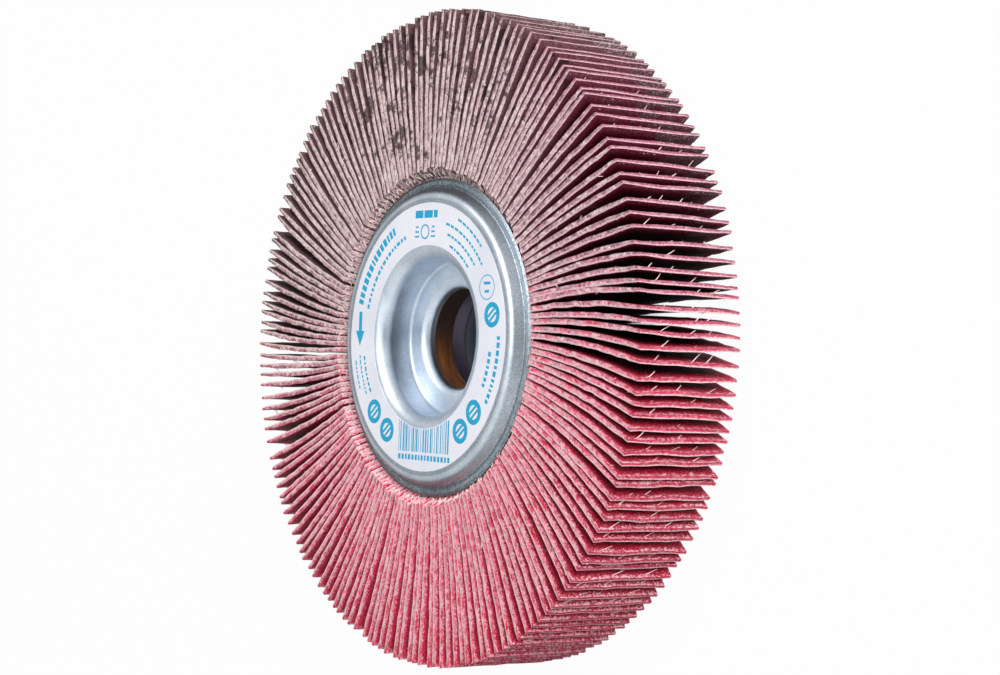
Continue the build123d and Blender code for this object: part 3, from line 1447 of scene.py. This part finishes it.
@dataclass(frozen=True)
class Studio:
    """The plain pale floor, soft light and the camera at the photograph's angle."""

    sizes: WheelSizes
    floor_width: float = 8.0
    floor_glow: float = 0.97
    floor_colour: Colour = (0.6, 0.6, 0.6)
    white: Colour = (1.0, 1.0, 1.0)
    sky_level: float = 0.15
    gloss_level: float = 1.1
    dim_side: tuple[float, float, float] = (0.79, 0.0, 0.613)
    camera_turn: float = math.radians(53.93)
    camera_rise: float = math.radians(-0.61)
    camera_roll: float = math.radians(2.09)
    camera_distance: float = 582.5 * MM
    focal_pixels: float = 2288.7
    frame_pixels: float = 1000.0
    right_pixels: float = 23.5
    down_pixels: float = 1.6
    sensor_mm: float = 36.0

    def floor_material(self) -> Material:
        """White floor that keeps a soft shadow and looks white to the camera and in reflections."""
        sheet = NodeSheet("pale_floor")
        path = sheet.add("LightPath").outputs
        seen = sheet.math("MAXIMUM", path["Is Camera Ray"], path["Is Glossy Ray"])
        seen = sheet.math("MAXIMUM", seen, path["Is Transmission Ray"])
        seen = sheet.times(seen, sheet.span(sheet.radius(), 30.0 * MM, 60.0 * MM))
        matt = sheet.result("BsdfDiffuse", {"Color": self.floor_colour})
        glow = sheet.result("Emission", {"Color": self.white})
        factor = sheet.times(seen, self.floor_glow)
        return sheet.end(sheet.result("MixShader", {0: factor, 1: matt, 2: glow}))

    def floor(self) -> None:
        """Lays the floor under the wheel's back plate."""
        work = bmesh.new()
        bmesh.ops.create_grid(work, x_segments=1, y_segments=1, size=self.floor_width / 2.0)
        bmesh.ops.translate(work, vec=(0.0, 0.0, -self.sizes.crown_z), verts=work.verts)
        mesh = mesh_from(work, "studio_floor")
        mesh.materials.append(self.floor_material())
        floor = bpy.data.objects.new("studio_floor", mesh)
        bpy.context.scene.collection.objects.link(floor)

    def sky(self) -> None:
        """Soft light, stronger from above the picture, brighter in reflections and white to the camera."""
        sheet = NodeSheet("studio_sky", bpy.data.worlds)
        way = sheet.add("TexCoord").outputs["Generated"]
        path = sheet.add("LightPath").outputs
        right, up, out = sheet.split(way)
        line = "LINEAR"
        matt = sheet.span(up, -0.8, 1.0, 0.2 * self.sky_level, 1.8 * self.sky_level, line)
        across = sheet.span(right, -0.9, 0.3, 0.5 * self.gloss_level, self.gloss_level, line)
        facing = sheet.result("VectorMath", {0: way, 1: self.dim_side}, "Value", operation="DOT_PRODUCT")
        glossy = sheet.times(across, sheet.span(out, 0.1, 0.45, 0.5, 1.0, line))
        glossy = sheet.times(glossy, sheet.span(facing, 0.9, 0.985, 1.0, 0.4, line))
        lit = sheet.result("Mix", {0: path["Is Glossy Ray"], 2: matt, 3: glossy})
        seen = sheet.result("Mix", {0: path["Is Camera Ray"], 2: lit, 3: 1.0})
        light = sheet.result("Background", {"Color": self.white, "Strength": seen})
        bpy.context.scene.world = sheet.end(light, "OutputWorld")

    def camera(self) -> None:
        """Sets the camera where the photograph was taken from."""
        towards = Vector(
            (
                math.sin(self.camera_turn) * math.cos(self.camera_rise),
                math.sin(self.camera_rise),
                math.cos(self.camera_turn) * math.cos(self.camera_rise),
            )
        )
        level_right = Vector((0.0, 1.0, 0.0)).cross(towards).normalized()
        level_up = towards.cross(level_right)
        rolled = Matrix.Rotation(self.camera_roll, 3, towards)
        right = rolled @ level_right
        up = rolled @ level_up
        data = bpy.data.cameras.new("camera")
        data.sensor_width = self.sensor_mm
        data.lens = self.focal_pixels / self.frame_pixels * self.sensor_mm
        data.shift_x = self.right_pixels / self.frame_pixels
        data.shift_y = self.down_pixels / self.frame_pixels
        camera = bpy.data.objects.new("camera", data)
        turn = Matrix((right, up, towards)).transposed().to_4x4()
        camera.matrix_world = Matrix.Translation(towards * self.camera_distance) @ turn
        bpy.context.scene.collection.objects.link(camera)
        bpy.context.scene.camera = camera

    def build(self) -> None:
        """Builds the stage."""
        self.floor()
        self.sky()
        Lamp("side_lamp", Vector((1.02, 0.42, 0.48)), 0.8, 16.5, False).build()
        Lamp("front_lamp", Vector((-0.12, 0.5, 1.13)), 0.8, 7.8, True).build()
        self.camera()
        bpy.context.scene.view_settings.view_transform = "Standard"


def main() -> None:
    """Builds the scene in order."""
    logging.basicConfig(level=logging.INFO, format="%(name)s: %(message)s")
    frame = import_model()
    sizes = WheelSizes.from_frame()
    LOG.info("nodes in the frame: %d", len(frame["nodes"]))
    Studio(sizes).build()
    FlapRing(sizes).build()
    steel = SteelFinish().material()
    SidePlate(sizes, Side.FRONT, 0.8 * MM).build(steel)
    SidePlate(sizes, Side.BACK, 3.2 * MM).build(steel)
    RingLabel(sizes).build()
    dress_node(frame, "spacer_sleeve", BoardFinish().material())
    dress_node(frame, "resin_core", ResinFinish().material())


if __name__ == "__main__":
    main()
